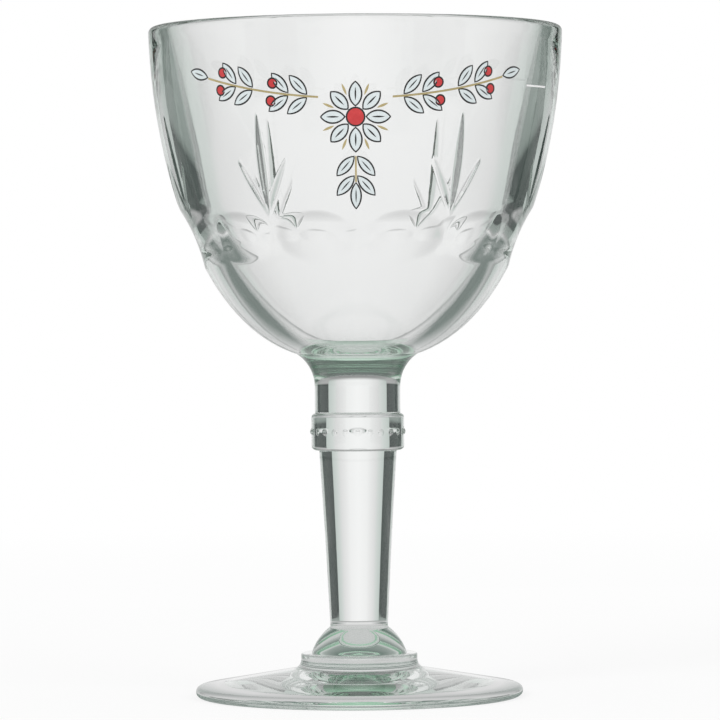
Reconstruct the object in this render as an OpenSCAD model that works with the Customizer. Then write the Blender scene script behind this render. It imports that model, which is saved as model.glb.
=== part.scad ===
// Chalice beer glass: a thick pressed bowl on a collared stem and a round foot, in millimetres.
// The origin is the centre of the foot's resting face, +Z is up, and the printed front faces -Y.
// Azimuths are in degrees from the front, positive towards +X.

/* [Bowl] */
// Height of the bowl, from the fused seat on the stem to the rim
bowl_h = 91.5; // [80:0.5:105]
// Widest radius of the outer wall
bowl_r = 57.9; // [52:0.1:64]
// How far above the rim the outer wall would stand upright
crest_rise = 1.9; // [0.5:0.1:4]
// Roundness of the belly: higher values carry the width further down
belly_power = 1.85; // [1.6:0.01:2.1]
// Squareness of the base: higher values make the underside flatter
base_power = 2.58; // [2.2:0.01:3]
// Thickness of the wall just below the lip
lip_wall_t = 5.05; // [4.5:0.05:6.5]
// Slope of the inside wall, from upright
core_slope = 12.2; // [10:0.1:14]
// Thickness of the glass under the middle of the bowl
floor_t = 3; // [2.5:0.1:8]
// Height of the round bottom of the inside
core_round_h = 44; // [30:0.5:50]
// Squareness of the round bottom of the inside
core_power = 2.6; // [2:0.05:3]
// Rounding of the lip's two edges
lip_r = 1.6; // [0.6:0.1:2.4]

/* [Pressed ovals] */
// Height of the middles of the ovals and side panels above the bowl's seat
oval_h = 32.2; // [28:0.2:38]
// Depth of an oval below the smooth wall
oval_depth = 1.25; // [0.6:0.05:1.6]
// Radius of the round tool that presses an oval
oval_tool_r = 30; // [16:1:50]
// Length of a pressing tool across the wall
oval_tool_w = 32; // [28:0.5:40]
// Number of ovals side by side on the front, and again on the back
oval_count = 4; // [2:2:4]
// Azimuth from the middle of one oval to the next
oval_pitch = 29.6; // [28:0.1:34]
// Azimuth of the middle of the relief's front
relief_turn = 1.3; // [-15:0.1:15]

/* [Side panels] */
// Depth of a panel below the smooth wall
panel_depth = 1.2; // [0.6:0.05:1.6]
// Radius of the round tool that presses a panel
panel_tool_r = 50; // [30:1:70]
// How far behind the bowl's axis that tool's path is centred, so that the panel fades out at its ends
panel_offset = 4.6; // [3.5:0.1:8]

/* [Cut leaves] */
// Number of fans of leaves round the bowl
fan_count = 6; // [2:2:6]
// Height of the fans' lower ends above the bowl's seat
fan_h = 38.2; // [36:0.2:42]
// Height that the middle leaf of a fan rises
leaf_rise = 27; // [20:0.5:30]
// Height that the two side leaves rise
side_leaf_rise = 14.5; // [10:0.5:20]
// Azimuth by which a side leaf leans out at its tip
side_leaf_lean = 8; // [4:0.5:11]
// Half the angle between the two faces of a leaf
leaf_half_angle = 58; // [40:1:70]
// How far the keel of a leaf lies below the chord between its tips
leaf_bite = 0.2; // [0.05:0.05:0.4]

/* [Stem] */
// Length of the stem, from the foot's boss to the bowl's seat
stem_l = 83.7; // [70:0.5:95]
// Radius of the flared top, under the bowl
seat_r = 16.9; // [14:0.1:20]
// Radius of the neck between the flare and the collar
neck_r = 12; // [10:0.1:13]
// Radius of the hollow curve from the neck to the flared top
flare_r = 11; // [9:0.5:14]
// Radius of the collar ring
collar_r = 13; // [12:0.1:15]
// Height of the collar ring
collar_h = 10.4; // [7:0.2:14]
// Length of the stem below the collar
shaft_l = 56.8; // [48:0.2:60]
// Rounding of the collar's two edges
collar_round_r = 1.3; // [0.6:0.1:2]
// Radius of the shaft just below the collar
shaft_top_r = 10.9; // [9:0.1:11.5]
// Radius of the shaft at its narrowest, above the domed base
shaft_low_r = 8.1; // [7:0.1:9.5]
// How far the shaft's outline is drawn in at the middle
shaft_draw = 0.15; // [0:0.05:0.5]
// Radius of the dome at the stem's base
dome_r = 13.9; // [12:0.1:15]
// How far the dome's centre lies below the fused seat on the foot
dome_sink = 4; // [2:0.1:6]
// Radius of the hollow fillet between shaft and dome
dome_fillet_r = 1.2; // [0.5:0.1:2]

/* [Collar pips] */
// Number of raised pips round the collar
pip_count = 24; // [12:1:30]
// Radius of a pip
pip_r = 1.25; // [0.8:0.05:1.5]
// How far a pip stands out of the collar
pip_out = 0.35; // [0.2:0.05:0.6]

/* [Foot] */
// Radius of the foot
foot_r = 45.8; // [40:0.2:52]
// Height of the boss that carries the stem
boss_h = 12.1; // [10:0.1:15]
// Radius of the boss
boss_r = 16.3; // [14.5:0.1:18]
// Rounding of the boss's upper edge
boss_edge_r = 0.5; // [0.2:0.1:1]
// Rounding of the foot's outer edge
foot_edge_r = 1.55; // [1:0.05:2.5]
// Slope of the foot's upper face
foot_slope = 10; // [6:0.5:11]
// Radius of the hollow fillet between the upper face and the boss
boss_fillet_r = 2.8; // [1.5:0.1:4]
// Radius of the hollow underneath
dish_r = 37; // [30:0.5:42]
// Depth of the hollow underneath
dish_depth = 2.2; // [1:0.1:3]

/* [Decoration] */
// Thickness of the fired enamel
film_t = 0.12; // [0.08:0.01:0.3]
// Width of the black outline round each leaf
outline_w = 0.45; // [0.3:0.05:0.6]
// Height of the rosette's centre above the bowl's seat
rosette_h = 64; // [61:0.5:68]
// Number of petals of the rosette
petal_count = 8; // [6:1:8]
// Length of a petal
petal_l = 6; // [5:0.1:7]
// Width of a petal
petal_w = 2.9; // [2:0.1:3.2]
// Radius of the rosette's red eye
eye_r = 2.2; // [1.5:0.1:2.8]
// Length of a gold ray between two petals
ray_l = 3.4; // [2:0.1:4]
// Height of the garland's stalk above the bowl's seat, at the front
garland_h = 69; // [66:0.5:72]
// Angle at which the garland's stalk rises round the bowl
garland_tilt = 22; // [10:1:25]
// Number of places along each half of the garland for a pair of leaves or berries
garland_pairs = 6; // [3:1:6]
// Length of stalk between two pairs of leaves
leaf_pitch = 5.2; // [4.8:0.1:5.6]
// Length of a leaf
leaf_l = 6.4; // [5:0.1:7]
// Width of a leaf
leaf_w = 2.3; // [1.5:0.1:2.4]
// Angle at which a leaf leans out from its stalk
leaf_lean = 42; // [38:1:60]
// Width of the gold lines
gold_w = 0.5; // [0.3:0.05:0.8]
// Radius of a berry
berry_r = 1.1; // [0.6:0.05:1.2]
// How far a berry's middle lies from the stalk
berry_out = 2.4; // [2:0.1:3]

/* [Fill mark] */
// Height of the mark above the bowl's seat
mark_h = 73.2; // [60:0.2:80]
// Azimuth of the mark's middle
mark_az = 61; // [50:1:130]
// Length of the mark
mark_l = 11.5; // [8:0.5:16]
// Width of the mark's line
mark_w = 0.5; // [0.3:0.05:1]

/* [Hidden] */
$fn = 96;

// Levels of the stack, from the table up
seat_z = boss_h + stem_l;
rim_z = seat_z + bowl_h;
floor_z = seat_z + floor_t;
collar_z = boss_h + shaft_l;

// Cuts and prisms run this far past the faces that they cross
overrun = 2;
// Short step on which a slope is measured
probe = 0.1;
// Steps along the curved stretches of an outline
wall_steps = 26;
core_steps = 18;
arc_steps = 8;
// Shares of a leaf's own size, for its midrib and for a gold ray
midrib_length_share = 0.6;
midrib_width_share = 0.16;
ray_width_share = 0.2;
// Of every three places on the garland, the last holds berries
berry_turn = 3;
// Pairs of leaves on the drop, and how far its tip leaf hangs, in pitches of those leaves
drop_pairs = 2;
drop_tip_share = 1.5;

// Points on an arc round a centre, from one angle to another, counted from the outward direction
function arc(centre, r, from, to, steps = arc_steps) =
    [for (i = [0 : steps])
        let (a = from + (to - from) * i / steps)
        centre + r * [cos(a), sin(a)]];

// The smooth outer wall is a superellipse that is upright just above the rim and passes the seat
crest_z = rim_z + crest_rise;
curve_h = (crest_z - seat_z) / pow(1 - pow(seat_r / bowl_r, base_power), 1 / belly_power);
function wall_r(z) = bowl_r * pow(1 - pow((crest_z - z) / curve_h, belly_power), 1 / base_power);
function wall_turn(z) = asin(pow((crest_z - z) / curve_h, belly_power / 2));
function wall_point(turn) =
    [bowl_r * pow(cos(turn), 2 / base_power), crest_z - curve_h * pow(sin(turn), 2 / belly_power)];
function wall_lean(z) = atan((wall_r(z + probe) - wall_r(z - probe)) / (2 * probe));
function on_wall(az, z) = [wall_r(z) * sin(az), -wall_r(z) * cos(az), z];

// The outer wall as points from one height to another
function wall_outline(low, high, steps = wall_steps) =
    let (from = wall_turn(low), to = wall_turn(high))
    [for (i = [0 : steps]) wall_point(from + (to - from) * i / steps)];

// The inside is a straight taper from the mouth that ends in a round bottom
mouth_r = wall_r(rim_z - lip_r) - lip_wall_t;
taper = tan(core_slope);
core_r = mouth_r - taper * (rim_z - lip_r - floor_z);
function core_point(turn) =
    let (h = core_round_h * (1 - cos(turn)))
    [(core_r + taper * h) * pow(sin(turn), 2 / core_power), floor_z + h];
function core_outline() = [for (i = [core_steps : -1 : 0]) core_point(90 * i / core_steps)];

module bowl_blank() {
    lip_z = rim_z - lip_r;
    rotate_extrude()
        polygon(concat(
            [[0, seat_z]],
            wall_outline(seat_z, lip_z),
            arc([wall_r(lip_z) - lip_r, lip_z], lip_r, 0, 90),
            arc([mouth_r + lip_r, lip_z], lip_r, 90, 180),
            core_outline()));
}

// Radius and height of the middle of a round tool that presses to a depth below the wall
function tool_place(tool_r, depth) =
    let (z = seat_z + oval_h, lean = wall_lean(z), out = tool_r - depth)
    [wall_r(z) + out * cos(lean), z - out * sin(lean)];

// One press by a round tool that lies flat across the wall
module press(az, tool_r, depth) {
    place = tool_place(tool_r, depth);
    rotate([0, 0, az])
        translate([0, -place[0], place[1]])
            rotate([0, 90, 0])
                cylinder(r = tool_r, h = oval_tool_w, center = true);
}

// A side panel, pressed by a round tool that travels round an axis behind the bowl's own
module panel(az) {
    rotate([0, 0, az])
        translate([0, panel_offset, 0])
            rotate([0, 0, 180])
                rotate_extrude(angle = 180)
                    translate(tool_place(panel_tool_r, panel_depth) + [panel_offset, 0])
                        circle(r = panel_tool_r);
}

// One leaf, a V-shaped cut whose keel is the chord between two points of the wall
module leaf_cut(az_low, z_low, az_high, z_high) {
    low = on_wall(az_low, z_low);
    high = on_wall(az_high, z_high);
    az = (az_low + az_high) / 2;
    along = (high - low) / norm(high - low);
    radial = [sin(az), -cos(az), 0];
    across = cross(along, radial) / norm(cross(along, radial));
    out = cross(across, along);
    start = low - out * leaf_bite;
    flare = overrun * tan(leaf_half_angle);
    multmatrix([
        [out[0], across[0], along[0], start[0]],
        [out[1], across[1], along[1], start[1]],
        [out[2], across[2], along[2], start[2]],
        [0, 0, 0, 1]])
        linear_extrude(norm(high - low))
            polygon([[0, 0], [overrun, -flare], [overrun, flare]]);
}

// Three leaves that spread from one point
module leaf_fan(az) {
    low_z = seat_z + fan_h;
    leaf_cut(az, low_z, az, low_z + leaf_rise);
    for (side = [-1, 1])
        leaf_cut(az, low_z, az + side * side_leaf_lean, low_z + side_leaf_rise);
}

module bowl() {
    color([0.86, 0.9, 0.88, 0.35])
        difference() {
            bowl_blank();
            rotate([0, 0, relief_turn]) {
                for (side = [0, 180])
                    for (i = [0 : oval_count - 1])
                        press(side + oval_pitch * (i - (oval_count - 1) / 2), oval_tool_r, oval_depth);
                for (side = [-90, 90])
                    panel(side);
                for (i = [0 : fan_count - 1])
                    leaf_fan(360 / fan_count * (i + 1 / 2));
            }
        }
}

// The drawn-in outline of the shaft, from below the collar down to the dome's fillet
function shaft_r(share) =
    shaft_top_r + (shaft_low_r - shaft_top_r) * share - 4 * shaft_draw * share * (1 - share);
function shaft_outline(top, low) =
    [for (i = [0 : arc_steps]) [shaft_r(i / arc_steps), top + (low - top) * i / arc_steps]];

module stem() {
    collar_top = collar_z + collar_h;
    dome_z = boss_h - dome_sink;
    fillet_x = shaft_low_r + dome_fillet_r;
    fillet_reach = dome_r + dome_fillet_r;
    fillet_z = dome_z + sqrt(fillet_reach * fillet_reach - fillet_x * fillet_x);
    fillet_end = atan2(fillet_z - dome_z, fillet_x);
    dome_end = asin(dome_sink / dome_r);
    flare_end = acos((neck_r + flare_r - seat_r) / flare_r);
    flare_z = seat_z - flare_r * sin(flare_end);
    color([0.84, 0.89, 0.87, 0.35]) {
        rotate_extrude()
            polygon(concat(
                [[0, boss_h]],
                arc([0, dome_z], dome_r, dome_end, fillet_end),
                arc([fillet_x, fillet_z], dome_fillet_r, fillet_end + 180, 180),
                [for (i = [arc_steps - 1 : -1 : 0]) shaft_outline(collar_z, fillet_z)[i]],
                arc([collar_r - collar_round_r, collar_z + collar_round_r], collar_round_r, -90, 0),
                arc([collar_r - collar_round_r, collar_top - collar_round_r], collar_round_r, 0, 90),
                [[neck_r, collar_top]],
                arc([neck_r + flare_r, flare_z], flare_r, 180, 180 - flare_end),
                [[0, seat_z]]));
        for (i = [0 : pip_count - 1])
            rotate([0, 0, 360 / pip_count * i])
                translate([0, pip_r - pip_out - collar_r, collar_z + collar_h / 2])
                    sphere(r = pip_r, $fn = 24);
    }
}

module foot() {
    edge_x = foot_r - foot_edge_r;
    slope_x = edge_x + foot_edge_r * sin(foot_slope);
    slope_z = foot_edge_r + foot_edge_r * cos(foot_slope);
    fillet_x = boss_r + boss_fillet_r;
    fillet_z = slope_z + (slope_x - fillet_x) * tan(foot_slope) + boss_fillet_r / cos(foot_slope);
    dish_round_r = (dish_r * dish_r + dish_depth * dish_depth) / (2 * dish_depth);
    dish_end = asin(dish_r / dish_round_r);
    color([0.83, 0.88, 0.86, 0.35])
        rotate_extrude()
            polygon(concat(
                arc([0, dish_depth - dish_round_r], dish_round_r, 90, 90 - dish_end),
                arc([edge_x, foot_edge_r], foot_edge_r, -90, 90 - foot_slope),
                arc([fillet_x, fillet_z], boss_fillet_r, 270 - foot_slope, 180),
                arc([boss_r - boss_edge_r, boss_h - boss_edge_r], boss_edge_r, 0, 90),
                [[0, boss_h]]));
}

// The thin skin of the outer wall in which every enamel layer lies, on the wall's own facets
module print_skin(low_h, high_h) {
    wall = [for (p = wall_outline(seat_z, rim_z - lip_r))
        if (p[1] > seat_z + low_h - leaf_pitch && p[1] < seat_z + high_h + leaf_pitch) p];
    rotate_extrude()
        polygon(concat(wall, [for (i = [len(wall) - 1 : -1 : 0]) wall[i] + [film_t, 0]]));
}

// Everything between two azimuths and between two heights above the seat
module sector(az_from, az_to, low_h, high_h) {
    rotate([0, 0, az_from - 90])
        rotate_extrude(angle = az_to - az_from)
            translate([0, seat_z + low_h])
                square([bowl_r + overrun, high_h - low_h]);
}

// Places a flat shape on the front of the bowl, at an azimuth and a height above the seat
module printed(az, h) {
    z = seat_z + h;
    rotate([0, 0, az])
        translate([0, -wall_r(z) / 2, z])
            rotate([90, 0, 0])
                linear_extrude(wall_r(z))
                    children();
}

// A pointed leaf that grows upwards from its stalk end
module leaf_shape(length, width, margin = 0) {
    l = length + 2 * margin;
    w = width + 2 * margin;
    r = (l * l + w * w) / (4 * w);
    translate([0, length / 2])
        intersection() {
            translate([r - w / 2, 0]) circle(r = r);
            translate([w / 2 - r, 0]) circle(r = r);
        }
}

module midrib_shape(length, width) {
    translate([0, length * (1 - midrib_length_share) / 2])
        leaf_shape(length * midrib_length_share, width * midrib_width_share);
}

// The silver inside of a leaf, and the black outline and midrib that fit round and in it
module leaf_fill(length, width) {
    difference() {
        leaf_shape(length, width);
        midrib_shape(length, width);
    }
}

module leaf_line(length, width) {
    difference() {
        leaf_shape(length, width, outline_w);
        leaf_shape(length, width);
    }
    midrib_shape(length, width);
}

// The rosette's petals stand on the black ring round its eye
petal_foot = eye_r + 2 * outline_w;
rosette_r = petal_foot + petal_l + outline_w;

module each_petal(half_steps = 0, foot = petal_foot) {
    pitch = 360 / petal_count;
    for (i = [0 : petal_count - 1])
        printed(0, rosette_h)
            rotate(pitch * (i + half_steps / 2))
                translate([0, foot])
                    children();
}

// The garland's stalk lies in a tilted plane, so it rises towards both ends
garland_r = wall_r(seat_z + garland_h);
garland_start = (rosette_r + outline_w) / garland_r * 180 / PI;
function pair_az(i) = garland_start + leaf_pitch * (i + 1 / 2) / garland_r * 180 / PI;
function stalk_h(az) = garland_h + garland_r * (1 - cos(az)) * tan(garland_tilt);
function stalk_rise(az) = atan(sin(az) * tan(garland_tilt));
function holds_berries(i) = i % berry_turn == berry_turn - 1;

// Places a shape on the garland at place i, turned from the stalk by an angle
module on_garland(side, i, turn) {
    az = pair_az(i);
    printed(side * az, stalk_h(az))
        rotate(side * (stalk_rise(az) - 90 + turn))
            children();
}

module each_garland_leaf() {
    for (side = [-1, 1]) {
        for (i = [0 : garland_pairs - 1])
            if (!holds_berries(i))
                for (up = [-1, 1])
                    on_garland(side, i, up * leaf_lean)
                        translate([0, gold_w + outline_w])
                            children();
        on_garland(side, garland_pairs, 0)
            children();
    }
}

module each_berry() {
    for (side = [-1, 1])
        for (i = [0 : garland_pairs - 1])
            if (holds_berries(i))
                for (up = [-1, 1])
                    on_garland(side, i, up * 90)
                        translate([0, berry_out])
                            children();
}

// The drop hangs from the rosette: a stalk with pairs of leaves and one leaf at its tip
drop_top = rosette_h - rosette_r - outline_w;
drop_tip = drop_top - leaf_pitch * drop_tip_share;
print_low_h = drop_tip - leaf_l;
print_high_h = stalk_h(pair_az(garland_pairs)) + leaf_l;

module each_drop_leaf() {
    for (side = [-1, 1])
        for (i = [0 : drop_pairs - 1])
            printed(0, drop_top - leaf_pitch * i)
                rotate(side * (180 - leaf_lean))
                    translate([0, gold_w + outline_w])
                        children();
    printed(0, drop_tip)
        rotate(180)
            children();
}

module silver_print() {
    color([0.8, 0.84, 0.84])
        intersection() {
            print_skin(print_low_h, print_high_h);
            union() {
                each_petal() leaf_fill(petal_l, petal_w);
                each_garland_leaf() leaf_fill(leaf_l, leaf_w);
                each_drop_leaf() leaf_fill(leaf_l, leaf_w);
            }
        }
}

module ring_shape(r) {
    difference() {
        circle(r = r + outline_w);
        circle(r = r);
    }
}

module black_print() {
    color([0.05, 0.05, 0.05])
        intersection() {
            print_skin(print_low_h, print_high_h);
            union() {
                each_petal() leaf_line(petal_l, petal_w);
                each_garland_leaf() leaf_line(leaf_l, leaf_w);
                each_drop_leaf() leaf_line(leaf_l, leaf_w);
                each_berry() ring_shape(berry_r);
                printed(0, rosette_h) ring_shape(eye_r);
            }
        }
}

module red_print() {
    color([0.78, 0.16, 0.18])
        intersection() {
            print_skin(print_low_h, print_high_h);
            union() {
                printed(0, rosette_h) circle(r = eye_r);
                each_berry() circle(r = berry_r);
            }
        }
}

module gold_print() {
    reach = pair_az(garland_pairs) - outline_w / garland_r * 180 / PI;
    color([0.75, 0.68, 0.45])
        intersection() {
            print_skin(print_low_h, print_high_h);
            union() {
                for (side = [-1, 1])
                    intersection() {
                        translate([0, -garland_r, seat_z + garland_h])
                            rotate([garland_tilt, 0, 0])
                                translate([0, bowl_r, 0])
                                    cube([2 * bowl_r, 2 * bowl_r + overrun, gold_w], center = true);
                        sector(min(side * garland_start, side * reach),
                            max(side * garland_start, side * reach), print_low_h, print_high_h);
                    }
                each_petal(1, rosette_r - ray_l) leaf_shape(ray_l, ray_l * ray_width_share);
                printed(0, (drop_top + drop_tip) / 2)
                    square([gold_w, drop_top - drop_tip - 2 * outline_w], center = true);
            }
        }
}

module fill_mark() {
    half_az = mark_l / bowl_r * 90 / PI;
    color("white")
        intersection() {
            print_skin(mark_h, mark_h);
            sector(mark_az - half_az, mark_az + half_az, mark_h - mark_w / 2, mark_h + mark_w / 2);
        }
}

bowl();
stem();
foot();
silver_print();
black_print();
red_print();
gold_print();
fill_mark();
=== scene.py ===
# %% [markdown]
# # A thick chalice beer glass
# The real glass is pressed in three moulds: a cup with a straight tapered inside, a solid stem
# with a collar, and a round foot. They are fused while hot, and the front of the cup is printed
# with fired enamel. The CAD model holds the exact pieces, and this script loads it as a fixed
# frame. It could keep the CAD meshes and only colour them, but glass shows every facet, because
# each one bends the light. So the glass pieces are made again here as fine smooth surfaces from
# the same formulas, and the thin print, which doesn't bend light, stays as the CAD has it.

import math

import bpy
import numpy as np
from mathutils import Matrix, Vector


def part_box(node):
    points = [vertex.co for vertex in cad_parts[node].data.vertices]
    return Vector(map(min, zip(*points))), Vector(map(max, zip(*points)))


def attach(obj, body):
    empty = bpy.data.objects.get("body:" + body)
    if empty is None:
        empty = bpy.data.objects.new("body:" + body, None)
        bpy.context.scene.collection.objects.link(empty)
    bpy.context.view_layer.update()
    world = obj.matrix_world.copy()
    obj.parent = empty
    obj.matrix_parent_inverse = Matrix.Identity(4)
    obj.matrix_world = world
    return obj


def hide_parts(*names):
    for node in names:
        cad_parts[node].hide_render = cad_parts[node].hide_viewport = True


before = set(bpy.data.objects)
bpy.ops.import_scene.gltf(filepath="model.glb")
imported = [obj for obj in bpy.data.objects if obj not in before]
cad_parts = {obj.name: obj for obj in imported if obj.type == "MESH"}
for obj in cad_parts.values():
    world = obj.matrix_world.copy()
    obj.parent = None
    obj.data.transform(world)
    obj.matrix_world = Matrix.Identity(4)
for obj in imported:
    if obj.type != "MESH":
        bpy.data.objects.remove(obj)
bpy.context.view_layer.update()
print("CAD nodes:", sorted(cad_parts))

# %% [markdown]
# ## Sizes
# Glass is drawn in millimetres, so the sizes below are in them too, and one factor turns them into
# the metres of the scene. They are the CAD's own sizes, which were read from the photograph. The
# heights of the seats and of the rim could be written down once more, but they are measured on the
# frame, so that each piece meets its neighbours where the CAD says.

# %% Heights from the frame
MM = 0.001
FOOT_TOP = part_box("foot")[1].z / MM
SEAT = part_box("bowl")[0].z / MM
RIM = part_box("bowl")[1].z / MM
print(f"foot to {FOOT_TOP:.1f} mm, seat at {SEAT:.1f} mm, rim at {RIM:.1f} mm")

# %% [markdown]
# ## A turned surface
# Every glass piece is round, so each is an outline that is spun about the axis. Blender's Spin and
# Screw tools give even steps all the way round. Here the relief needs fine steps at the cut leaves
# and coarse steps between them, so the mesh is built from a grid of points: one row for each point
# of the outline, and one column for each turn. The radius may change from column to column, and
# that is how the relief is pressed in.


# %% Outline helpers
def arc(centre_r, centre_z, radius, start, end, steps):
    """Points on an arc, with angles in degrees from the outward direction."""
    angles = np.radians(np.linspace(start, end, steps + 1))
    out, up = radius * np.cos(angles), radius * np.sin(angles)
    return np.stack([centre_r + out, centre_z + up], axis=1)


def line(start, end, steps):
    """Points on a straight stretch of an outline."""
    return np.linspace(start, end, steps + 1)


def outline(*stretches):
    """Joins stretches of an outline and drops each point that repeats the one before it."""
    points = np.concatenate(stretches)
    step = np.linalg.norm(np.diff(points, axis=0), axis=1)
    return points[np.concatenate([[True], step > SAME_POINT])]


def grid(points, columns):
    """The radii and the heights of an outline, the same in every column."""
    return tuple(np.repeat(points[:, part:part + 1], columns, axis=1) for part in (0, 1))


SAME_POINT = 1e-6
print("a quarter circle in two steps:", arc(0, 0, 1, 0, 90, 2).round(2).tolist())

# %% [markdown]
# The grid's faces are four-sided, and a fan of triangles closes it on the axis at each end. A seat,
# where two pieces of glass are fused, is a flat disc at one end of an outline: the fan and the two
# rings of faces next to it. Those faces are marked, because they get a material of their own.


# %% Faces of a grid
def grid_faces(rows, columns):
    """Four-sided faces between the rows, then the fan at the start and the fan at the end."""
    here = np.arange(columns)
    there = (here + 1) % columns
    quads = []
    for row in range(rows - 1):
        low, high = row * columns, (row + 1) * columns
        quads.append(np.stack([low + here, low + there, high + there, high + here], axis=1))
    last = (rows - 1) * columns
    start_pole, end_pole = rows * columns, rows * columns + 1
    start_fan = [(start_pole, int(b), int(a)) for a, b in zip(here, there)]
    end_fan = [(int(last + a), int(last + b), end_pole) for a, b in zip(here, there)]
    return np.concatenate(quads).tolist() + start_fan + end_fan


def seat_marks(rows, columns, faces, seats):
    """1 for each face in the rows named in seats. Row -1 is the fan at the start, and the last
    row is the fan at the end."""
    marks = np.zeros(faces, dtype=np.int32)
    for row in seats:
        if row < 0:
            marks[(rows - 1) * columns:rows * columns] = 1
        elif row >= rows - 1:
            marks[rows * columns:] = 1
        else:
            marks[row * columns:(row + 1) * columns] = 1
    return marks


SEAT_RINGS = 3
START_SEAT = tuple(range(-1, SEAT_RINGS - 1))


def end_seat(points):
    """The rows of a seat at the end of an outline."""
    last = len(points) - 1
    return tuple(range(last - SEAT_RINGS + 1, last + 1))


print("rows of a seat at the start:", START_SEAT)

# %% Grid to mesh
SHARP_FROM = 28


def turned(name, turns, radii, heights, seats=()):
    """A closed mesh from a grid of radii and heights in millimetres. The two ends of the outline
    lie on the axis. Faces in the rows named in seats get the second material."""
    rows, columns = radii.shape
    ring = np.stack([radii * np.sin(turns), -radii * np.cos(turns), heights], axis=-1)
    poles = np.array([[0, 0, heights[0, 0]], [0, 0, heights[-1, 0]]])
    points = np.concatenate([ring.reshape(-1, 3), poles]) * MM
    mesh = bpy.data.meshes.new(name)
    mesh.from_pydata(points.tolist(), [], grid_faces(rows, columns))
    marks = seat_marks(rows, columns, len(mesh.polygons), seats)
    mesh.polygons.foreach_set("material_index", marks)
    mesh.shade_smooth()
    mesh.set_sharp_from_angle(angle=math.radians(SHARP_FROM))
    made = bpy.data.objects.new(name, mesh)
    bpy.context.scene.collection.objects.link(made)
    print(f"{name}: {len(mesh.vertices)} points, {len(mesh.polygons)} faces")
    return made


# %% [markdown]
# ## The outline of the bowl
# The outer wall of the cup is a superellipse: upright at the rim, full in the belly and pulled in
# to the stem. The inside is a plunger's shape, a straight taper with a round bottom. So the wall is
# 5 mm thick at the lip, about 8 mm through the belly and thickest just above the stem. A traced
# list of points would ripple in glass, and a formula has no ripples.

# %% Outer wall
BOWL_R = 57.9
CREST = RIM + 1.9
SEAT_R = 16.9
BELLY, BASE = 1.85, 2.58
LIP_R = 1.6
CURVE_H = (CREST - SEAT) / (1 - (SEAT_R / BOWL_R) ** BASE) ** (1 / BELLY)


def wall_r(z):
    """Radius of the smooth outer wall at a height."""
    return BOWL_R * (1 - (np.maximum(CREST - z, 0) / CURVE_H) ** BELLY) ** (1 / BASE)


def wall_turn(z):
    """The superellipse's own angle at a height, which spaces points evenly along the wall."""
    return math.asin(((CREST - z) / CURVE_H) ** (BELLY / 2))


def wall_stretch(low, high, steps):
    """Points up the outer wall from one height to another."""
    angles = np.linspace(wall_turn(low), wall_turn(high), steps + 1)
    heights = CREST - CURVE_H * np.sin(angles) ** (2 / BELLY)
    return np.stack([wall_r(heights), heights], axis=1)


print(f"outer wall: {wall_r(SEAT):.1f} mm at the seat, {wall_r(RIM):.1f} mm at the rim")

# %% Inside
FLOOR_THICK, LIP_THICK = 3, 5.05
FLOOR = SEAT + FLOOR_THICK
LIP_Z = RIM - LIP_R
MOUTH_R = float(wall_r(LIP_Z)) - LIP_THICK
TAPER = math.tan(math.radians(12.2))
ROUND_H, CORE = 44, 2.6
CORE_R = MOUTH_R - TAPER * (LIP_Z - FLOOR)


def inside_r(z):
    """Radius of the inside at a height above the floor."""
    share = np.clip((z - FLOOR) / ROUND_H, 0, 1)
    return (CORE_R + TAPER * (z - FLOOR)) * (1 - (1 - share) ** 2) ** (1 / CORE)


def inside_stretch(steps):
    """Points down the round bottom of the inside, to the axis."""
    angles = np.radians(np.linspace(90, 90 / steps, steps))
    heights = FLOOR + ROUND_H * (1 - np.cos(angles))
    return np.stack([inside_r(heights), heights], axis=1)


BELLY_Z = 130
belly_wall = wall_r(BELLY_Z) - inside_r(BELLY_Z)
print(f"inside: {MOUTH_R:.1f} mm at the mouth, wall {belly_wall:.1f} mm thick in the belly")

# %% [markdown]
# ## The relief
# Four ovals are pressed side by side into the front of the lower wall and four into the back, with
# a long panel between them on each side. Above them six fans of three leaves are cut with a wheel.
# Boolean cuts would leave long thin faces that glint. Each tool is instead a formula for the radius
# that it leaves, and the wall is the smallest of them. A soft minimum rounds the pressed edges, as
# heat and wear do, and keeps the cut leaves crisp.

# %% Pressing tools
OVAL_COUNT = 4
OVAL_PITCH = math.radians(29.6)
OVAL_DEPTH, OVAL_TOOL_R = 1.25, 30
PANEL_DEPTH, PANEL_TOOL_R, PANEL_OFFSET = 1.2, 50, 4.6
PRESS_Z = SEAT + 32.2
PROBE = 0.1
RELIEF_TURN = math.radians(1.3)
FAR_OUT = 99


def soft_min(a, b, blend):
    """The smaller of two surfaces, rounded where they cross."""
    near = np.maximum(blend - np.abs(a - b), 0) / blend
    return np.minimum(a, b) - near * near * blend / 4


def turn_from(turns, centre):
    """Each turn measured from a centre, between minus and plus half a circle."""
    return (turns - centre + math.pi) % (2 * math.pi) - math.pi


def tool_face(z, tool_r, depth):
    """Radius at which a round tool's face lies, in the middle of its cut."""
    lean = math.atan((wall_r(PRESS_Z + PROBE) - wall_r(PRESS_Z - PROBE)) / (2 * PROBE))
    reach = tool_r - depth
    tool_z = PRESS_Z - reach * math.sin(lean)
    bulge = np.sqrt(np.maximum(tool_r ** 2 - (z - tool_z) ** 2, 0))
    return wall_r(PRESS_Z) + reach * math.cos(lean) - bulge


print(f"middle of the ovals at {PRESS_Z:.1f} mm, where the wall is {wall_r(PRESS_Z):.1f} mm out")


# %% Pressed surfaces
def oval_surface(turns, z, centre):
    """Radius that one oval leaves. Its tool lies flat across the wall."""
    away = turn_from(turns, centre)
    touched = np.abs(away) < OVAL_PITCH
    face = tool_face(z, OVAL_TOOL_R, OVAL_DEPTH)
    return np.where(touched, face / np.cos(np.where(touched, away, 0)), FAR_OUT)


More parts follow.
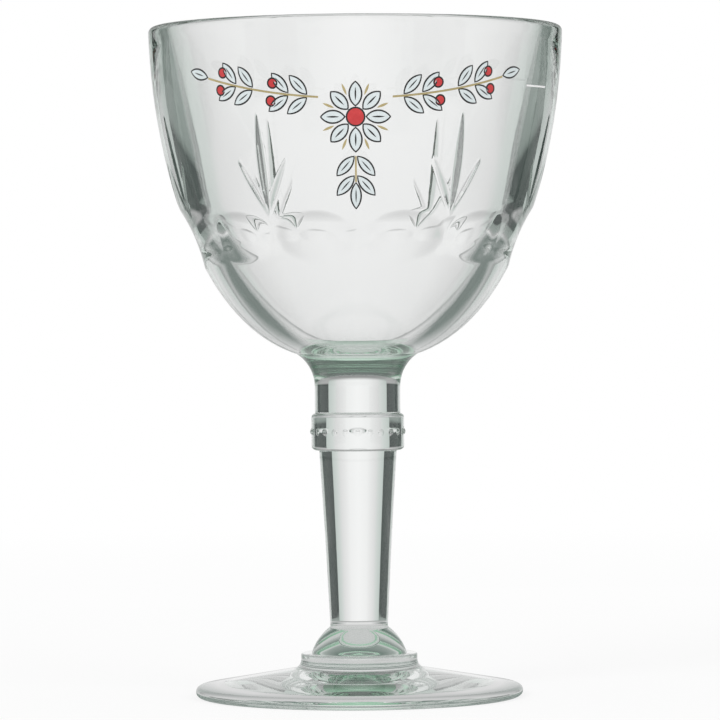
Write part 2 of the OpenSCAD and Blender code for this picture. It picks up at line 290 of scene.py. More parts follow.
def panel_surface(turns, z, centre):
    """Radius that one side panel leaves. Its tool travels round an axis behind the bowl's own."""
    away = turn_from(turns, centre)
    track = tool_face(z, PANEL_TOOL_R, PANEL_DEPTH) + PANEL_OFFSET
    left = np.sqrt(track ** 2 - (PANEL_OFFSET * np.sin(away)) ** 2) - PANEL_OFFSET * np.cos(away)
    return np.where(np.abs(away) < math.pi / 2, left, FAR_OUT)


oval_left = wall_r(PRESS_Z) - oval_surface(np.zeros(1), np.array([PRESS_Z]), 0)[0]
print(f"an oval takes {oval_left:.2f} mm off the wall's radius in its middle")

# %% Cut leaves
FANS = 6
FAN_PITCH = 2 * math.pi / FANS
FAN_Z = SEAT + 38.2
LEAF_RISE, SIDE_RISE = 27, 14.5
SIDE_LEAN = math.radians(8)
LEAF_FLANK = 1 / math.tan(math.radians(58))
LEAF_BITE = 0.2


def on_wall(turn, z):
    """A point of the outer wall."""
    r = wall_r(z)
    return np.array([r * math.sin(turn), -r * math.cos(turn), z])


def leaf_surface(turns, z, start, end):
    """Radius that a V-edged wheel leaves between two places on the wall, each (turn, height)."""
    low, high = on_wall(*start), on_wall(*end)
    middle = (start[0] + end[0]) / 2
    along = (high - low) / np.linalg.norm(high - low)
    across = np.cross(along, [math.sin(middle), -math.cos(middle), 0])
    across /= np.linalg.norm(across)
    out = np.cross(across, along)
    keel = low - out * LEAF_BITE
    ray = np.stack([np.sin(turns), -np.cos(turns), 0 * turns], axis=-1)
    height = np.stack([0 * z, 0 * z, z], axis=-1)
    flanks = []
    for side in (-1, 1):
        normal = out - side * LEAF_FLANK * across
        flanks.append(((keel - height) @ normal) / (ray @ normal))
    left = np.maximum(*flanks)
    reach = (ray * left[..., None] + height - keel) @ along
    near = np.abs(turn_from(turns, middle)) < FAN_PITCH / 4
    inside = near & (reach > 0) & (reach < np.linalg.norm(high - low)) & (left > 0)
    return np.where(inside, left, FAR_OUT)


print(f"leaves from {FAN_Z:.1f} mm up to {FAN_Z + LEAF_RISE:.1f} mm")

# %% All cuts together
PRESS_SOFTNESS, LEAF_SOFTNESS = 0.3, 0.05
fan_turns = RELIEF_TURN + FAN_PITCH * (np.arange(FANS) + 0.5)


def relief(turns, z):
    """Radius of the outer wall with all its relief."""
    surface = wall_r(z)
    for side in (0, math.pi):
        for index in range(OVAL_COUNT):
            centre = RELIEF_TURN + side + OVAL_PITCH * (index - (OVAL_COUNT - 1) / 2)
            surface = soft_min(surface, oval_surface(turns, z, centre), PRESS_SOFTNESS)
        panel = panel_surface(turns, z, RELIEF_TURN + side + math.pi / 2)
        surface = soft_min(surface, panel, PRESS_SOFTNESS)
    for fan in fan_turns:
        tips = [(fan, LEAF_RISE), (fan - SIDE_LEAN, SIDE_RISE), (fan + SIDE_LEAN, SIDE_RISE)]
        for turn, rise in tips:
            leaf = leaf_surface(turns, z, (fan, FAN_Z), (turn, FAN_Z + rise))
            surface = soft_min(surface, leaf, LEAF_SOFTNESS)
    return surface


print("fans at", np.degrees(fan_turns).round(1).tolist(), "degrees")

# %% Columns of the bowl
FINE_REACH, FINE_STEP, COARSE_STEP = 10.5, 0.3, 0.65


def bowl_turns():
    """Turns round the bowl, fine at the fans and coarse between them."""
    half = 180 / FANS
    coarse = np.linspace(-half, -FINE_REACH, round((half - FINE_REACH) / COARSE_STEP) + 1)[:-1]
    fine = np.linspace(-FINE_REACH, FINE_REACH, round(2 * FINE_REACH / FINE_STEP) + 1)
    sector = np.concatenate([coarse, fine, -coarse[:0:-1]])
    return (fan_turns[:, None] + np.radians(sector)).reshape(-1)


turns = bowl_turns()
print("bowl:", len(turns), "columns")

# %% Rows of the bowl
RELIEF_RISE, RELIEF_SPARE = 22, 1
RELIEF_LOW, RELIEF_HIGH = SEAT + RELIEF_RISE, FAN_Z + LEAF_RISE + RELIEF_SPARE
ROW_STEP = 0.55
LOW_STEPS, HIGH_STEPS, LIP_STEPS, TAPER_STEPS, BOTTOM_STEPS = 34, 16, 10, 14, 40
relief_rows = np.arange(RELIEF_LOW, RELIEF_HIGH, ROW_STEP)
bowl_points = outline(
    line((SEAT_R / SEAT_RINGS, SEAT), (SEAT_R, SEAT), SEAT_RINGS - 1),
    wall_stretch(SEAT, RELIEF_LOW, LOW_STEPS),
    np.stack([wall_r(relief_rows), relief_rows], axis=1),
    wall_stretch(RELIEF_HIGH, LIP_Z, HIGH_STEPS),
    arc(float(wall_r(LIP_Z)) - LIP_R, LIP_Z, LIP_R, 0, 90, LIP_STEPS),
    arc(MOUTH_R + LIP_R, LIP_Z, LIP_R, 90, 180, LIP_STEPS),
    line((MOUTH_R, LIP_Z), (float(inside_r(FLOOR + ROUND_H)), FLOOR + ROUND_H), TAPER_STEPS),
    inside_stretch(BOTTOM_STEPS))
print("bowl:", len(bowl_points), "rows")

# %% Make the bowl
INSIDE_CLEAR = 1
radii, heights = grid(bowl_points, len(turns))
above_seat = (heights > SEAT) & (heights < RELIEF_HIGH)
outer_wall = above_seat & (radii > inside_r(heights) + INSIDE_CLEAR)
pressed = relief(np.broadcast_to(turns, radii.shape), heights)
radii = np.where(outer_wall, np.minimum(radii, pressed), radii)
bowl = turned("bowl_glass", turns, radii, heights, seats=START_SEAT)
print(f"deepest press: {(wall_r(heights) - pressed)[outer_wall].max():.2f} mm")

# %% [markdown]
# ## The stem
# The stem is solid. From the foot up it is a dome, a slim shaft that swells towards the top, a
# collar ring, a short neck and a flare under the cup. Each stretch is a plain curve, as a mould
# maker turns it. A ring of small raised pips goes round the collar. A separate ball for each pip
# would leave faces inside the glass, so the pips are pressed out of the same surface. The stem's
# two seats stand off by a hair, because a ray of light can't find its way out between two faces
# that lie in the same plane.

# %% Stem sizes
COLLAR_Z, COLLAR_H, COLLAR_R, COLLAR_ROUND = FOOT_TOP + 56.8, 10.4, 13, 1.3
NECK_R, FLARE_R = 12, 11
SHAFT_TOP_R, SHAFT_LOW_R, SHAFT_DRAW = 10.9, 8.1, 0.15
DOME_R, DOME_Z, DOME_FILLET = 13.9, FOOT_TOP - 4, 1.2
PIPS, PIP_R, PIP_OUT = 24, 1.25, 0.35
SEAT_GAP = 0.02
STEM_LOW, STEM_TOP = FOOT_TOP + SEAT_GAP, SEAT - SEAT_GAP
print(f"stem: {STEM_TOP - STEM_LOW:.1f} mm long, collar at {COLLAR_Z:.1f} mm")

# %% Where the stretches meet
fillet_r = SHAFT_LOW_R + DOME_FILLET
fillet_z = DOME_Z + math.sqrt((DOME_R + DOME_FILLET) ** 2 - fillet_r ** 2)
fillet_end = math.degrees(math.atan2(fillet_z - DOME_Z, fillet_r))
dome_start = math.degrees(math.asin((FOOT_TOP - DOME_Z) / DOME_R))
dome_foot_r = DOME_R * math.cos(math.radians(dome_start))
flare_end = math.degrees(math.acos((NECK_R + FLARE_R - SEAT_R) / FLARE_R))
flare_z = SEAT - FLARE_R * math.sin(math.radians(flare_end))
collar_mid = COLLAR_Z + COLLAR_H / 2
collar_in = COLLAR_R - COLLAR_ROUND
print(f"stem: flare from {flare_z:.1f} mm, dome to {fillet_z:.1f} mm")

# %% Stem outline
SHAFT_STEPS, DOME_STEPS, ROUND_STEPS, PIP_STEPS, FLARE_STEPS = 24, 20, 10, 14, 24
share = np.linspace(0, 1, SHAFT_STEPS + 1)
drawn_in = SHAFT_DRAW * 4 * share * (1 - share)
shaft_r = SHAFT_LOW_R + (SHAFT_TOP_R - SHAFT_LOW_R) * share - drawn_in
shaft = np.stack([shaft_r, fillet_z + (COLLAR_Z - fillet_z) * share], axis=1)
stem_points = outline(
    line((dome_foot_r / SEAT_RINGS, STEM_LOW), (dome_foot_r, STEM_LOW), SEAT_RINGS - 1),
    arc(0, DOME_Z, DOME_R, dome_start, fillet_end, DOME_STEPS)[1:],
    arc(fillet_r, fillet_z, DOME_FILLET, fillet_end + 180, 180, ROUND_STEPS),
    shaft,
    line((SHAFT_TOP_R, COLLAR_Z), (collar_in, COLLAR_Z), 1),
    arc(collar_in, COLLAR_Z + COLLAR_ROUND, COLLAR_ROUND, -90, 0, ROUND_STEPS),
    line((COLLAR_R, collar_mid - PIP_R), (COLLAR_R, collar_mid + PIP_R), PIP_STEPS),
    arc(collar_in, COLLAR_Z + COLLAR_H - COLLAR_ROUND, COLLAR_ROUND, 0, 90, ROUND_STEPS),
    line((collar_in, COLLAR_Z + COLLAR_H), (NECK_R, COLLAR_Z + COLLAR_H), 1),
    arc(NECK_R + FLARE_R, flare_z, FLARE_R, 180, 180 - flare_end, FLARE_STEPS)[:-1],
    line((SEAT_R, STEM_TOP), (SEAT_R / SEAT_RINGS, STEM_TOP), SEAT_RINGS - 1))
print("stem:", len(stem_points), "rows")


# %% Make the stem, with pips on its collar
def pip_rise(turns, z):
    """How far the collar's surface stands out at each pip."""
    step = 2 * math.pi / PIPS
    away = (turns + step / 2) % step - step / 2
    off = (COLLAR_R * away) ** 2 + (z - collar_mid) ** 2
    return np.maximum(np.sqrt(np.maximum(PIP_R ** 2 - off, 0)) - (PIP_R - PIP_OUT), 0)


STEM_COLUMNS = 480
stem_turns = np.linspace(0, 2 * math.pi, STEM_COLUMNS, endpoint=False)
stem_radii, stem_heights = grid(stem_points, STEM_COLUMNS)
on_collar = np.abs(stem_heights - collar_mid) < PIP_R
stem_radii = stem_radii + np.where(on_collar, pip_rise(stem_turns, stem_heights), 0)
stem = turned("stem_glass", stem_turns, stem_radii, stem_heights,
              seats=START_SEAT + end_seat(stem_points))

# %% [markdown]
# ## The foot
# The foot is a flat cone with a fully round edge. A low boss in the middle carries the stem, and
# the underside is a shallow hollow, so that the glass stands on a ring and doesn't rock.

# %% Foot sizes
FOOT_R, FOOT_EDGE, SLOPE = 45.8, 1.55, 10
BOSS_R, BOSS_EDGE, BOSS_FILLET = 16.3, 0.5, 2.8
DISH_R, DISH_DEPTH = 37, 2.2
slope = math.radians(SLOPE)
edge_r = FOOT_R - FOOT_EDGE
slope_r = edge_r + FOOT_EDGE * math.sin(slope)
slope_z = FOOT_EDGE + FOOT_EDGE * math.cos(slope)
boss_fillet_r = BOSS_R + BOSS_FILLET
boss_rise = (slope_r - boss_fillet_r) * math.tan(slope)
boss_fillet_z = slope_z + boss_rise + BOSS_FILLET / math.cos(slope)
dish_round = (DISH_R ** 2 + DISH_DEPTH ** 2) / (2 * DISH_DEPTH)
dish_end = math.degrees(math.asin(DISH_R / dish_round))
print(f"foot: {2 * FOOT_R:.1f} mm across, rises {boss_rise:.1f} mm to its boss")

# %% Make the foot
FOOT_COLUMNS = 400
DISH_STEPS, EDGE_STEPS, FILLET_STEPS, BOSS_STEPS = 24, 18, 14, 6
foot_points = outline(
    arc(0, DISH_DEPTH - dish_round, dish_round,
        90 - dish_end / DISH_STEPS, 90 - dish_end, DISH_STEPS - 1),
    arc(edge_r, FOOT_EDGE, FOOT_EDGE, -90, 90 - SLOPE, EDGE_STEPS),
    arc(boss_fillet_r, boss_fillet_z, BOSS_FILLET, 270 - SLOPE, 180, FILLET_STEPS),
    arc(BOSS_R - BOSS_EDGE, FOOT_TOP - BOSS_EDGE, BOSS_EDGE, 0, 90, BOSS_STEPS),
    line((BOSS_R - BOSS_EDGE, FOOT_TOP), (dome_foot_r, FOOT_TOP), 2),
    line((dome_foot_r, FOOT_TOP), (dome_foot_r / SEAT_RINGS, FOOT_TOP), SEAT_RINGS - 1))
foot_turns = np.linspace(0, 2 * math.pi, FOOT_COLUMNS, endpoint=False)
foot = turned("foot_glass", foot_turns, *grid(foot_points, FOOT_COLUMNS),
              seats=end_seat(foot_points))

# %% [markdown]
# ## Bodies
# The glass pieces stand for the CAD nodes of the same name, and everything belongs to one body,
# because nothing on a glass moves.

# %% Ride and replace
for piece, node in ((bowl, "bowl"), (stem, "stem"), (foot, "foot")):
    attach(piece, "root")
    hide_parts(node)
print("glass pieces:", bowl.name, stem.name, foot.name)


# %% [markdown]
# ## Shader helpers
# Materials are graphs of nodes. A graph that is drawn by hand gets hard to read after ten nodes. In
# a script, one small helper for each kind of step keeps it short, so that each material reads like
# a list of steps.

# %% Node helpers
def add(tree, kind, at=(0, 0), **settings):
    """Adds a node. A setting whose name is a socket goes there, and any other on the node."""
    node = tree.nodes.new(kind)
    node.location = at
    for key, value in settings.items():
        title = key.replace("_", " ").title()
        if title in node.inputs:
            node.inputs[title].default_value = value
        else:
            setattr(node, key, value)
    return node


def join(tree, *links):
    """Joins sockets in pairs, each an output and an input."""
    for start, end in links:
        tree.links.new(start, end)


def feed(tree, value, socket):
    """Fills a socket from another socket or with a plain value."""
    if isinstance(value, bpy.types.NodeSocket):
        tree.links.new(value, socket)
    else:
        socket.default_value = value


def new_group(name, takes, gives):
    """An empty node group with sockets of the named kinds, and its two ends."""
    group = bpy.data.node_groups.new(name, "ShaderNodeTree")
    for way, sockets in (("INPUT", takes), ("OUTPUT", gives)):
        for title, kind in sockets.items():
            group.interface.new_socket(title, in_out=way, socket_type=f"NodeSocket{kind}")
    return group, group.nodes.new("NodeGroupInput"), group.nodes.new("NodeGroupOutput")


def new_material(name):
    """An empty material with its output and a Principled shader joined to it."""
    material = bpy.data.materials.new(name)
    material.use_nodes = True
    tree = material.node_tree
    tree.nodes.clear()
    shader = add(tree, "ShaderNodeBsdfPrincipled", (0, 0))
    output = add(tree, "ShaderNodeOutputMaterial", (400, 0))
    tree.links.new(shader.outputs["BSDF"], output.inputs["Surface"])
    return material, tree, shader, output


# %% Steps of a graph
MIX_FIRST, MIX_SECOND, MIX_RESULT = 6, 7, 2


def rgba(tone):
    """A grey or a colour as the four numbers that a colour socket takes."""
    return (*tone, 1) if isinstance(tone, tuple) else (tone, tone, tone, 1)


def maths(tree, operation, *values):
    """One step of arithmetic on sockets or plain numbers."""
    node = add(tree, "ShaderNodeMath", operation=operation)
    for value, socket in zip(values, node.inputs):
        feed(tree, value, socket)
    return node.outputs[0]


def noise(tree, place, scale, detail):
    """Cloudy noise from 0 to 1 over the surface."""
    node = add(tree, "ShaderNodeTexNoise", detail=detail)
    feed(tree, place, node.inputs["Vector"])
    feed(tree, scale, node.inputs["Scale"])
    return node.outputs["Fac"]


def blended(tree, share, first, second):
    """A mix of two colours, each a socket or a plain colour, by a share."""
    node = add(tree, "ShaderNodeMix", data_type="RGBA")
    feed(tree, share, node.inputs[0])
    for value, index in ((first, MIX_FIRST), (second, MIX_SECOND)):
        plain = not isinstance(value, bpy.types.NodeSocket)
        feed(tree, rgba(value) if plain else value, node.inputs[index])
    return node.outputs[MIX_RESULT]


def add_bump(tree, shader, height, distance):
    """Lets a height that changes over the surface tilt the light, over a depth in metres."""
    bump = add(tree, "ShaderNodeBump", (-250, -200), distance=distance)
    join(tree, (height, bump.inputs["Height"]), (bump.outputs["Normal"], shader.inputs["Normal"]))


print("a mid grey for a colour socket:", rgba(0.5))

# %% [markdown]
# ## Pressed glass
# Pressed glass is never quite flat: the mould leaves a slow ripple, and the surface cools with a
# finer waviness. Both are heights that change over the surface, so they make one node group, which
# each glass material places with its own scale and strength.

# %% Ripple group
DRAWN_UPWARD = (1, 1, 0.45)
FINER, FINE_SHARE = 5, 0.12
ripple, enter, leave = new_group("mould_ripple", {"Scale": "Float", "Depth": "Float"},
                                 {"Height": "Float"})
where = ripple.nodes.new("ShaderNodeTexCoord")
stretch = add(ripple, "ShaderNodeVectorMath", operation="MULTIPLY")
stretch.inputs[1].default_value = DRAWN_UPWARD
join(ripple, (where.outputs["Object"], stretch.inputs[0]))
slow = noise(ripple, stretch.outputs[0], enter.outputs["Scale"], 1.0)
finer_scale = maths(ripple, "MULTIPLY", enter.outputs["Scale"], FINER)
fine = noise(ripple, stretch.outputs[0], finer_scale, 2.0)
together = maths(ripple, "MULTIPLY_ADD", fine, FINE_SHARE, slow)
deep = maths(ripple, "MULTIPLY", together, enter.outputs["Depth"])
join(ripple, (deep, leave.inputs["Height"]))
print("group:", ripple.name)

# %% [markdown]
# Clear glass is a Principled shader with full transmission. Its faint colour could be a tinted
# surface, but then a thin lip would be as green as the thick foot. Real glass takes its colour
# from the way that the light travels inside it, so the body absorbs a little light instead.

# %% Glass materials
GLASS_IOR = 1.5
CLEAR = (1, 1, 1, 1)
ABSORB_COLOUR, ABSORB_DENSITY = (0.55, 0.78, 0.64, 1), 2.3


def make_clear(tree, shader, output, ior):
    """Turns a new material into a clear body with the glass's faint green-grey."""
    shader.inputs["Base Color"].default_value = CLEAR
    shader.inputs["Roughness"].default_value = 0
    shader.inputs["IOR"].default_value = ior
    shader.inputs["Transmission Weight"].default_value = 1
    body = add(tree, "ShaderNodeVolumeAbsorption", (150, -300))
    body.inputs["Color"].default_value = ABSORB_COLOUR
    body.inputs["Density"].default_value = ABSORB_DENSITY
    tree.links.new(body.outputs["Volume"], output.inputs["Volume"])


def glass(name, scale, depth):
    """Clear pressed glass with a ripple of its own."""
    material, tree, shader, output = new_material(name)
    make_clear(tree, shader, output, GLASS_IOR)
    group = add(tree, "ShaderNodeGroup", (-500, -200), node_tree=ripple)
    group.inputs["Scale"].default_value = scale
    group.inputs["Depth"].default_value = depth
    add_bump(tree, shader, group.outputs["Height"], MM)
    return material


bowl_glass = glass("bowl glass", scale=45, depth=0.06)
stem_glass = glass("stem glass", scale=70, depth=0.05)
foot_glass = glass("foot glass", scale=40, depth=0.05)
print("glass with an index of refraction of", GLASS_IOR)

# %% [markdown]
# ## The fused seats
# Where two pieces of hot glass are pressed together they become one, and light passes straight
# through. The pieces stay closed meshes here, so their two seat faces would mirror the light. The
# seat faces get a material of their own with the index of refraction of nothing, which joins the
# two pieces to the eye.

# %% Seat material
fused_seat, tree, shader, output = new_material("fused seat")
make_clear(tree, shader, output, ior=1)
for piece, material in ((bowl, bowl_glass), (stem, stem_glass), (foot, foot_glass)):
    piece.data.materials.append(material)
    piece.data.materials.append(fused_seat)
    print(piece.name, "is made of", material.name)

# %% [markdown]
# ## Fired enamel
# The print is a paste of coloured glass, screened on and fired. It is a little uneven in depth and
# has a satin skin. One group gives the mottle and the fine grain for all the colours, and each
# enamel mixes its own two shades with it.

# %% Enamel group
CLOUD_SCALE, GRAIN_SCALE = 420.0, 2600.0
SMOOTHEST, ROUGHEST = 0.28, 0.5
mottle, enter, leave = new_group(
    "fired_mottle", {"Light": "Color", "Dark": "Color"},
    {"Colour": "Color", "Roughness": "Float", "Height": "Float"})
where = mottle.nodes.new("ShaderNodeTexCoord").outputs["Object"]
cloud = noise(mottle, where, CLOUD_SCALE, 3.0)
grain = noise(mottle, where, GRAIN_SCALE, 2.0)
skin = add(mottle, "ShaderNodeMapRange", to_min=SMOOTHEST, to_max=ROUGHEST)
shade = blended(mottle, cloud, enter.outputs["Light"], enter.outputs["Dark"])
join(mottle,
     (cloud, skin.inputs["Value"]),
     (shade, leave.inputs["Colour"]),
     (skin.outputs[0], leave.inputs["Roughness"]),
     (grain, leave.inputs["Height"]))
print("group:", mottle.name)

# %% Enamel materials
GRAIN_DEPTH = 0.02 * MM
ENAMELS = {
    "silver_print": ("silver enamel", (0.68, 0.74, 0.75), (0.58, 0.64, 0.65), 0.0),
    "black_print": ("black enamel", (0.02, 0.02, 0.02), (0.01, 0.01, 0.01), 0.0),
    "red_print": ("red enamel", (0.62, 0.05, 0.05), (0.45, 0.02, 0.025), 0.0),
    "gold_print": ("fired gold", (0.56, 0.47, 0.25), (0.45, 0.36, 0.17), 0.5),
    "fill_mark": ("white enamel", (0.9, 0.9, 0.9), (0.8, 0.8, 0.8), 0.0),
}


def enamel(name, light, dark, metallic):
    """Fired enamel in two close shades."""
    material, tree, shader, _ = new_material(name)
    shader.inputs["Metallic"].default_value = metallic
    group = add(tree, "ShaderNodeGroup", (-500, -200), node_tree=mottle)
    group.inputs["Light"].default_value = rgba(light)
    group.inputs["Dark"].default_value = rgba(dark)
    join(tree,
         (group.outputs["Colour"], shader.inputs["Base Color"]),
         (group.outputs["Roughness"], shader.inputs["Roughness"]))
    add_bump(tree, shader, group.outputs["Height"], GRAIN_DEPTH)
    return material


for node, finish in ENAMELS.items():
    material = enamel(*finish)
    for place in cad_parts[node].material_slots:
        place.material = material
    print(node, "is finished in", material.name)

# %% [markdown]
# ## Studio
# Glass has no colour of its own worth speaking of, so it shows its surroundings. A glass is
# photographed against a bright panel, and dark gaps beside the panel draw its dark edges. One panel
# behind would suit one view only. Here four panels stand round the glass, so that each side of it
# has the same clear middle and dark edges, and the table has tones that only glass sees, among
# them painted shade near the glass.
# What the camera sees directly is plain white, and what lights the enamel is a soft even white.
# Each tone is a ramp over a distance, so that the light falls off softly as in a real studio.


# %% Studio helpers
def ramp(tree, value, *stops):
    """The tone for a value, from stops, each a position and a grey or a colour."""
    node = tree.nodes.new("ShaderNodeValToRGB")
    points = node.color_ramp.elements
    while len(points) < len(stops):
        points.new(1)
    for point, (position, tone) in zip(points, stops):
        point.position = position
        point.color = rgba(tone)
    tree.links.new(value, node.inputs[0])
    return node.outputs[0]


def split(tree, place):
    """The X, Y and Z of a place."""
    parts = tree.nodes.new("ShaderNodeSeparateXYZ")
    tree.links.new(place, parts.inputs[0])
    return parts.outputs["X"], parts.outputs["Y"], parts.outputs["Z"]


def distance_from(tree, place, centre=(0, 0, 0)):
    """How far a place lies from a centre."""
    node = add(tree, "ShaderNodeVectorMath", operation="DISTANCE")
    node.inputs[1].default_value = centre
    tree.links.new(place, node.inputs[0])
    return node.outputs["Value"]


def studio_piece(name, corners):
    """Flat faces of the studio, from their corners, four to a face."""
    mesh = bpy.data.meshes.new(name)
    mesh.from_pydata(corners, [], np.arange(len(corners)).reshape(-1, 4).tolist())
    made = bpy.data.objects.new(name, mesh)
    bpy.context.scene.collection.objects.link(made)
    return made


WHITE = (1, 1, 1)
DARK_GAP = (0.035, 0.048, 0.044)
print("dark gaps between the panels:", DARK_GAP)

# %% [markdown]
# ## Table
# The lower bowl bends the light down, so it shows the table. A white table would leave it without
# edges, and a dark one would make it look smoked. So the table is a pale disc that grows dark far
# off. Near the glass it is painted darker, as painted shade of the glass itself. A soft dark card
# lies on it behind the glass on each side and draws the two dark crescents of the lower bowl. A
# narrow dark ring of painted contact shadow lies where the foot touches the table, for the foot's
# round edge shows what is right under it.

# %% Dark cards
CARD_TONE = (0.155, 0.19, 0.175)
CARD_TURNS = ((0.35, 0), (0.85, 1))
CARD_REACH = ((0.1, 0), (0.16, 1), (0.35, 1), (0.46, 0))
CARD_BACK = ((0, 0), (0.05, 1))
HALFWAY = math.radians(45)


def off_axis(tree, x, y):
    """How far a place is turned from the nearest of the four main directions, 1 at halfway."""
    turn = maths(tree, "ARCTAN2", x, y)
    return maths(tree, "DIVIDE", maths(tree, "PINGPONG", turn, HALFWAY), HALFWAY)


def on_card(tree, place, distance):
    """1 on the two dark cards that lie on the table behind the glass, to its left and right."""
    x, y, _ = split(tree, place)
    turned_away = ramp(tree, off_axis(tree, x, y), *CARD_TURNS)
    between = ramp(tree, distance, *CARD_REACH)
    behind = ramp(tree, y, *CARD_BACK)
    return maths(tree, "MULTIPLY", maths(tree, "MULTIPLY", turned_away, between), behind)


print("cards from", CARD_REACH[0][0], "to", CARD_REACH[-1][0], "m behind the glass")

# %% Table tones
# Painted shade on the table: darker near the glass, with a narrow painted contact shadow ring under
# the foot's edge.
EDGE_TONE, CONTACT_SHADOW_TONE = 0.62, (0.12, 0.17, 0.15)
NEAR_SHADE_TONES = ((0.041, EDGE_TONE), (0.044, CONTACT_SHADOW_TONE), (0.049, CONTACT_SHADOW_TONE),
              (0.054, EDGE_TONE), (0.09, 0.6), (0.13, 0.7), (0.3, 0.74), (0.45, 0.88))
DISC_CENTRE, DISC_R, DISC_SOFT, TABLE_REACH = (0, -0.3, 0), 0.34, 0.02, 2.0
FAR_TONES = ((DISC_R, 0.4), (0.42, (0.26, 0.3, 0.28)), (0.75, (0.22, 0.26, 0.24)), (1, DARK_GAP))


def table_tone(tree, place):
    """The table's tone, with painted shade near the glass. The disc and what lies past it are
    measured in shares of its reach.
    """
    distance = distance_from(tree, place)
    near = ramp(tree, distance, *NEAR_SHADE_TONES)
    from_disc = maths(tree, "DIVIDE", distance_from(tree, place, DISC_CENTRE), TABLE_REACH)
    past_disc = ramp(tree, from_disc, *FAR_TONES)
    on_disc = ramp(tree, from_disc, (DISC_R - DISC_SOFT, 1), (DISC_R + DISC_SOFT, 0))
    bare = blended(tree, on_disc, past_disc, near)
    return blended(tree, on_card(tree, place, distance), bare, CARD_TONE)


print("pale disc:", DISC_R * TABLE_REACH, "m in radius")

# %% [markdown]
# ## Floor
# One large square is the floor. The camera sees it glow white, apart from a small share near the
# glass that is really lit, and that share shows the soft shadow. Rays that come through the glass
# or off it see the table's tones instead, with its painted shade near the glass.

# %% Floor
FLOOR_HALF = 6
FLOOR_WHITE, FLOOR_ROUGHNESS = 0.95, 0.9
corners = [(x * FLOOR_HALF, y * FLOOR_HALF, 0) for x, y in ((-1, -1), (1, -1), (1, 1), (-1, 1))]
floor = studio_piece("floor", corners)
floor_paint, tree, shader, output = new_material("studio floor")
shader.inputs["Base Color"].default_value = rgba(FLOOR_WHITE)
shader.inputs["Roughness"].default_value = FLOOR_ROUGHNESS
floor.data.materials.append(floor_paint)
print("floor:", 2 * FLOOR_HALF, "m across")

# %% What each ray sees on the floor
SHADOW_SHARE = 0.2
CAMERA_GLOW = ((0.1, 1 - SHADOW_SHARE), (0.9, 1))
place = tree.nodes.new("ShaderNodeTexCoord").outputs["Object"]
rays = tree.nodes.new("ShaderNodeLightPath").outputs
by_glass = maths(tree, "MAXIMUM", rays["Is Glossy Ray"], rays["Is Transmission Ray"])
own_glow = ramp(tree, distance_from(tree, place), *CAMERA_GLOW)
to_camera = maths(tree, "MULTIPLY", rays["Is Camera Ray"], own_glow)
glow = tree.nodes.new("ShaderNodeEmission")
mix = tree.nodes.new("ShaderNodeMixShader")
join(tree,
     (blended(tree, by_glass, WHITE, table_tone(tree, place)), glow.inputs["Color"]),
     (maths(tree, "MAXIMUM", by_glass, to_camera), mix.inputs["Fac"]),
     (shader.outputs["BSDF"], mix.inputs[1]),
     (glow.outputs["Emission"], mix.inputs[2]),
     (mix.outputs["Shader"], output.inputs["Surface"]))
print("share of the floor that shows the shadow:", SHADOW_SHARE)

# %% [markdown]
# ## Panels
# A panel painted on the world is endlessly far away, and the bowl's outline comes out too light in
# it. So the four panels are real faces half a metre off. They glow, but only glass sees them: the
# camera, the enamel and the shadows don't. Each is brightest in the middle and dimmer towards its
# sides and its top, as a panel with one lamp behind it is.

# %% Panels
PANEL_BACK, PANEL_HALF, PANEL_TALL = 0.45, 0.264, 0.32


def turn_quarter(x, y, z, quarters):
    """A point turned about the glass by quarter turns."""
    for _ in range(quarters):
        x, y = -y, x
    return (x, y, z)


panel_corners = [turn_quarter(side * PANEL_HALF, PANEL_BACK, up * PANEL_TALL, quarter)
                 for quarter in range(4) for side, up in ((-1, 0), (1, 0), (1, 1), (-1, 1))]
panels = studio_piece("panels", panel_corners)
panels.visible_camera = panels.visible_diffuse = panels.visible_shadow = False
print("panels:", len(panels.data.polygons), "at", PANEL_BACK, "m")

# %% Panel paint
PANEL_TONES = ((0, 0.92), (0.07, 0.88), (0.104, 0.81), (0.15, 0.73), (0.19, (0.62, 0.66, 0.64)),
               (0.26, (0.5, 0.56, 0.53)))
PANEL_TOP, TOP_TONE = ((0.2, 0), (0.28, 1)), 0.3
panel_paint = bpy.data.materials.new("bright panel")
panel_paint.use_nodes = True
tree = panel_paint.node_tree
tree.nodes.clear()
place = tree.nodes.new("ShaderNodeTexCoord").outputs["Object"]
x, y, z = split(tree, place)
aside = maths(tree, "MINIMUM", maths(tree, "ABSOLUTE", x), maths(tree, "ABSOLUTE", y))
tone = ramp(tree, aside, *PANEL_TONES)
high_up = ramp(tree, z, *PANEL_TOP)
glow = tree.nodes.new("ShaderNodeEmission")
output = tree.nodes.new("ShaderNodeOutputMaterial")
join(tree,
     (blended(tree, high_up, tone, TOP_TONE), glow.inputs["Color"]),
     (glow.outputs["Emission"], output.inputs["Surface"]))
panels.data.materials.append(panel_paint)
print("panel tones from", PANEL_TONES[0][1], "in the middle to", PANEL_TONES[-1][1])

# %% [markdown]
# ## World
# Past the panels lies the studio itself. It is dark at the height of the glass, which draws the
# dark edges, and grey overhead, which the glass shows wherever it faces up. The world also gives
# the soft even light on the enamel, and plain white where the camera looks past everything.

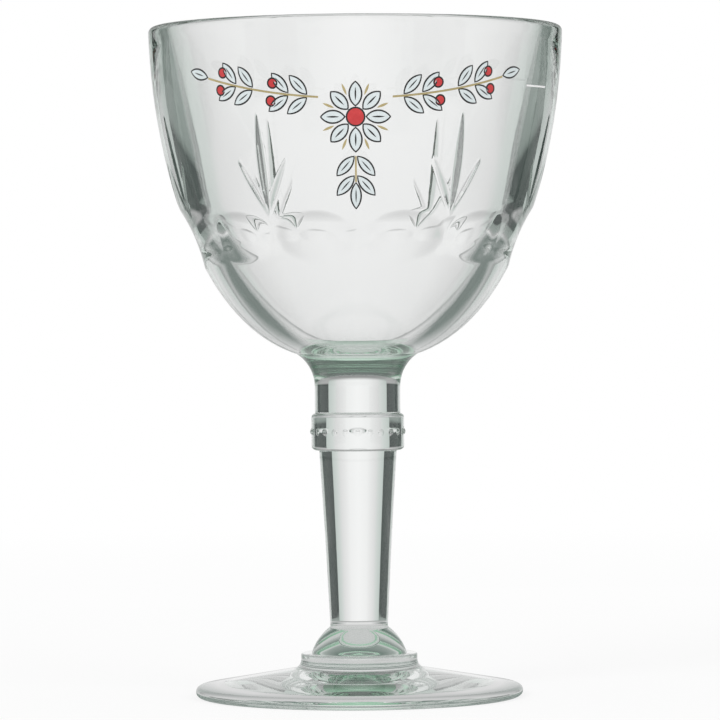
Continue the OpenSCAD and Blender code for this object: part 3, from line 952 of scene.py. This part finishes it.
# %% World
SOFT_LIGHT = 0.75
ABOVE = ((0, 0), (0.08, 0), (0.17, 1))
OVERHEAD = ((0.2, 0.42), (0.44, 0.34), (0.54, 0.22), (0.76, (0.135, 0.157, 0.148)))
world = bpy.data.worlds.new("studio")
bpy.context.scene.world = world
world.use_nodes = True
tree = world.node_tree
tree.nodes.clear()
rays = tree.nodes.new("ShaderNodeLightPath").outputs
_, _, upward = split(tree, tree.nodes.new("ShaderNodeTexCoord").outputs["Generated"])
overhead = ramp(tree, upward, *OVERHEAD)
surroundings = blended(tree, ramp(tree, upward, *ABOVE), DARK_GAP, overhead)
lit = blended(tree, rays["Is Diffuse Ray"], surroundings, SOFT_LIGHT)
background = tree.nodes.new("ShaderNodeBackground")
output = tree.nodes.new("ShaderNodeOutputWorld")
join(tree,
     (blended(tree, rays["Is Camera Ray"], lit, WHITE), background.inputs["Color"]),
     (background.outputs[0], output.inputs["Surface"]))
print("world: dark round the panels, paler above")

# %% [markdown]
# ## Lamps
# Two square lamps stand in front, a key on the left and a weaker fill on the right. They give the
# enamel its light and the glass its soft shadow. Glass would show each lamp as a hard white square,
# so neither is seen in it.


# %% Lamps
def softbox(name, at, size, power):
    """A square lamp that faces the middle of the bowl."""
    lamp = bpy.data.lights.new(name, "AREA")
    lamp.shape = "SQUARE"
    lamp.size = size
    lamp.energy = power
    made = bpy.data.objects.new(name, lamp)
    made.location = at
    x, y, z = (b - a for a, b in zip(at, LOOK_AT))
    made.rotation_euler = (math.atan2(math.hypot(x, y), -z), 0, math.atan2(y, x) - math.pi / 2)
    made.visible_camera = made.visible_transmission = made.visible_glossy = False
    bpy.context.scene.collection.objects.link(made)
    return made


LOOK_AT = (0, 0, 0.13)
key = softbox("key softbox", at=(-1.1, -1.4, 1.2), size=0.7, power=14)
fill = softbox("fill softbox", at=(1.3, -1.2, 1.0), size=0.9, power=8)
print("lamps:", key.name, "and", fill.name)

# %% [markdown]
# ## Camera
# The photograph was taken from about 1.2 m with a long lens, with the eye a little above the
# middle of the glass. The far rim and the far edge of the foot both show, which fixes the height.

# %% Camera
EYE_BACK, EYE_UP, EYE_RIGHT = 1.197, 0.1095, 0.00085
PIXELS_PER_MM_AT_AXIS = 3.57
PHOTO_WIDTH, SENSOR = 720, 36
HORIZON_ROW, MIDDLE_ROW = 305, 360
ROLL = math.radians(0.386)
NEAR_CLIP = 0.05
focal_pixels = PIXELS_PER_MM_AT_AXIS * EYE_BACK / MM
tilt = math.atan((MIDDLE_ROW - HORIZON_ROW) / focal_pixels)
camera_data = bpy.data.cameras.new("camera")
camera_data.sensor_width = SENSOR
camera_data.lens = focal_pixels * SENSOR / PHOTO_WIDTH
camera_data.clip_start = NEAR_CLIP
camera = bpy.data.objects.new("camera", camera_data)
camera.location = (EYE_RIGHT, -EYE_BACK, EYE_UP)
camera.rotation_euler = (math.pi / 2 - tilt, ROLL, 0)
bpy.context.scene.collection.objects.link(camera)
bpy.context.scene.camera = camera
print(f"lens {camera_data.lens:.0f} mm")

# %% [markdown]
# ## Light paths
# Light runs to and fro inside the thick foot many times before it comes out, so its paths may be
# longer than Blender's own limit, which would leave the foot black. The Standard view transform
# shows each tone as it is written.

# %% Light paths and view
LIGHT_TURNS = 32
paths = bpy.context.scene.cycles
paths.max_bounces = paths.glossy_bounces = paths.transmission_bounces = LIGHT_TURNS
bpy.context.scene.view_settings.view_transform = "Standard"
print("light may turn", LIGHT_TURNS, "times")
